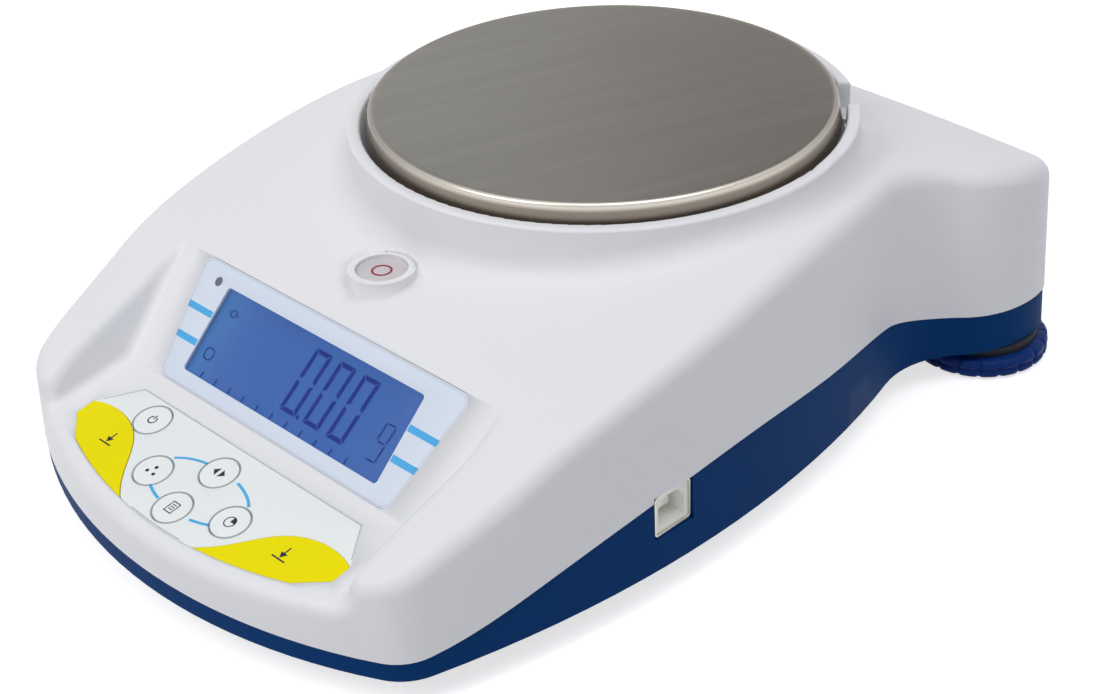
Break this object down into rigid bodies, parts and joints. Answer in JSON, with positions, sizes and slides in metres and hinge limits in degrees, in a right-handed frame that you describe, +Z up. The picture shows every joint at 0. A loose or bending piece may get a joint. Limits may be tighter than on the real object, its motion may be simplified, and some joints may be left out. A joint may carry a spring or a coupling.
{
  "type": "compact balance",
  "caption": "Compact electronic balance with a round steel pan in a ring wall, tilted display, keypad, bubble level and screw-adjusted rear feet.",
  "frame": {"origin": "on the table under the middle of the housing's outline", "axes": "+X to the right seen from the keypad side, +Y to the rear, +Z up"},
  "size_m": [0.1808, 0.244, 0.078],
  "materials": {
    "top_cover": "fine moulded texture",
    "base_shell": "fine moulded texture",
    "weighing_pan": "brushed in one direction",
    "pan_support": "die cast",
    "pan_support_bolt": "bright",
    "pan_cushions": "matte",
    "load_cell": "milled",
    "cell_mount": "milled",
    "cell_bolts": "bright",
    "load_bracket": "milled",
    "bracket_bolts": "bright",
    "overload_stop": "bright",
    "display_bezel": "printed film",
    "display_window": "clear",
    "lcd_glass": "display glass and polariser",
    "lcd_backlight": "light guide",
    "display_board": "solder mask",
    "display_board_screws": "bright",
    "status_lens": "light pipe",
    "keypad_overlay": "printed film",
    "keypad_board": "solder mask",
    "key_switches": "switch bodies",
    "keypad_board_screws": "bright",
    "level_vial": "moulded cup",
    "level_fluid": "coloured liquid",
    "level_air_bubble": "air",
    "level_glass": "clear",
    "level_circle": "printed",
    "main_board": "solder mask",
    "main_board_screws": "bright",
    "usb_shell": "tinned sheet",
    "usb_core": "moulded insulator",
    "usb_tongue": "moulded insulator",
    "power_jack": "moulded insulator",
    "housing_screws": "plated",
    "power_key": "printed film",
    "select_key": "printed film",
    "mode_key": "printed film",
    "print_key": "printed film",
    "percent_key": "printed film",
    "tare_key_left": "printed film",
    "tare_key_right": "printed film",
    "foot_disc_left": "moulded grip",
    "foot_stud_left": "threaded",
    "foot_collar_left": "moulded",
    "foot_pad_left": "matte",
    "front_foot_left": "matte",
    "foot_disc_right": "moulded grip",
    "foot_stud_right": "threaded",
    "foot_collar_right": "moulded",
    "foot_pad_right": "matte",
    "front_foot_right": "matte"
  },
  "bodies": {
    "housing": {"top_cover": "top_cover", "base_shell": "base_shell", "load_cell": "load_cell", "cell_mount": "cell_mount", "cell_bolts": "cell_bolts", "overload_stop": "overload_stop", "display_bezel": "display_bezel", "display_window": "display_window", "lcd_glass": "lcd_glass", "lcd_backlight": "lcd_backlight", "display_board": "display_board", "display_board_screws": "display_board_screws", "status_lens": "status_lens", "keypad_overlay": "keypad_overlay", "keypad_board": "keypad_board", "key_switches": "key_switches", "keypad_board_screws": "keypad_board_screws", "level_vial": "level_vial", "level_fluid": "level_fluid", "level_air_bubble": "level_air_bubble", "level_glass": "level_glass", "level_circle": "level_circle", "main_board": "main_board", "main_board_screws": "main_board_screws", "usb_shell": "usb_shell", "usb_core": "usb_core", "usb_tongue": "usb_tongue", "power_jack": "power_jack", "housing_screws": "housing_screws", "front_foot_left": "front_foot_left", "front_foot_right": "front_foot_right"},
    "platform": {"pan_support": "pan_support", "pan_support_bolt": "pan_support_bolt", "load_bracket": "load_bracket", "bracket_bolts": "bracket_bolts", "pan_cushions": "pan_cushions"},
    "pan": {"weighing_pan": "weighing_pan"},
    "power_key": {"power_key": "power_key"},
    "select_key": {"select_key": "select_key"},
    "mode_key": {"mode_key": "mode_key"},
    "print_key": {"print_key": "print_key"},
    "percent_key": {"percent_key": "percent_key"},
    "tare_key_left": {"tare_key_left": "tare_key_left"},
    "tare_key_right": {"tare_key_right": "tare_key_right"},
    "pad_left": {"foot_pad_left": "foot_pad_left"},
    "foot_left": {"foot_disc_left": "foot_disc_left", "foot_stud_left": "foot_stud_left", "foot_collar_left": "foot_collar_left"},
    "pad_right": {"foot_pad_right": "foot_pad_right"},
    "foot_right": {"foot_disc_right": "foot_disc_right", "foot_stud_right": "foot_stud_right", "foot_collar_right": "foot_collar_right"}
  },
  "joints": [
    {"name": "weigh", "type": "slide", "parent": "housing", "child": "platform", "axis": [0, 0, -1], "range_m": [0, 0.0003], "stiffness_N_per_m": 30000, "springref_m": -0.0001, "deforming": ["load_cell"]},
    {"name": "pan_lift", "type": "slide", "parent": "platform", "child": "pan", "axis": [0, 0, 1], "range_m": [0, 0.04]},
    {"name": "power_key_press", "type": "slide", "parent": "housing", "child": "power_key", "axis": [0, 0.1788, -0.9839], "range_m": [0, 0.0003], "stiffness_N_per_m": 2000, "springref_m": -0.0001},
    {"name": "select_key_press", "type": "slide", "parent": "housing", "child": "select_key", "axis": [0, 0.1788, -0.9839], "range_m": [0, 0.0003], "stiffness_N_per_m": 2000, "springref_m": -0.0001},
    {"name": "mode_key_press", "type": "slide", "parent": "housing", "child": "mode_key", "axis": [0, 0.1788, -0.9839], "range_m": [0, 0.0003], "stiffness_N_per_m": 2000, "springref_m": -0.0001},
    {"name": "print_key_press", "type": "slide", "parent": "housing", "child": "print_key", "axis": [0, 0.1788, -0.9839], "range_m": [0, 0.0003], "stiffness_N_per_m": 2000, "springref_m": -0.0001},
    {"name": "percent_key_press", "type": "slide", "parent": "housing", "child": "percent_key", "axis": [0, 0.1788, -0.9839], "range_m": [0, 0.0003], "stiffness_N_per_m": 2000, "springref_m": -0.0001},
    {"name": "tare_key_left_press", "type": "slide", "parent": "housing", "child": "tare_key_left", "axis": [0, 0.1788, -0.9839], "range_m": [0, 0.0003], "stiffness_N_per_m": 2000, "springref_m": -0.0001},
    {"name": "tare_key_right_press", "type": "slide", "parent": "housing", "child": "tare_key_right", "axis": [0, 0.1788, -0.9839], "range_m": [0, 0.0003], "stiffness_N_per_m": 2000, "springref_m": -0.0001},
    {"name": "foot_left_lower", "type": "slide", "parent": "housing", "child": "pad_left", "axis": [0, 0, -1], "range_m": [0, 0.003]},
    {"name": "foot_left_turn", "type": "hinge", "parent": "pad_left", "child": "foot_left", "pos_m": [-0.072, 0.1015, 0], "axis": [0, 0, -1], "range_deg": [0, 1080]},
    {"name": "foot_right_lower", "type": "slide", "parent": "housing", "child": "pad_right", "axis": [0, 0, -1], "range_m": [0, 0.003]},
    {"name": "foot_right_turn", "type": "hinge", "parent": "pad_right", "child": "foot_right", "pos_m": [0.072, 0.1015, 0], "axis": [0, 0, -1], "range_deg": [0, 1080]}
  ],
  "couplings": [
    {"joint": "foot_left_turn", "follows": "foot_left_lower", "rad_per_m": 6283.2},
    {"joint": "foot_right_turn", "follows": "foot_right_lower", "rad_per_m": 6283.2}
  ]
}
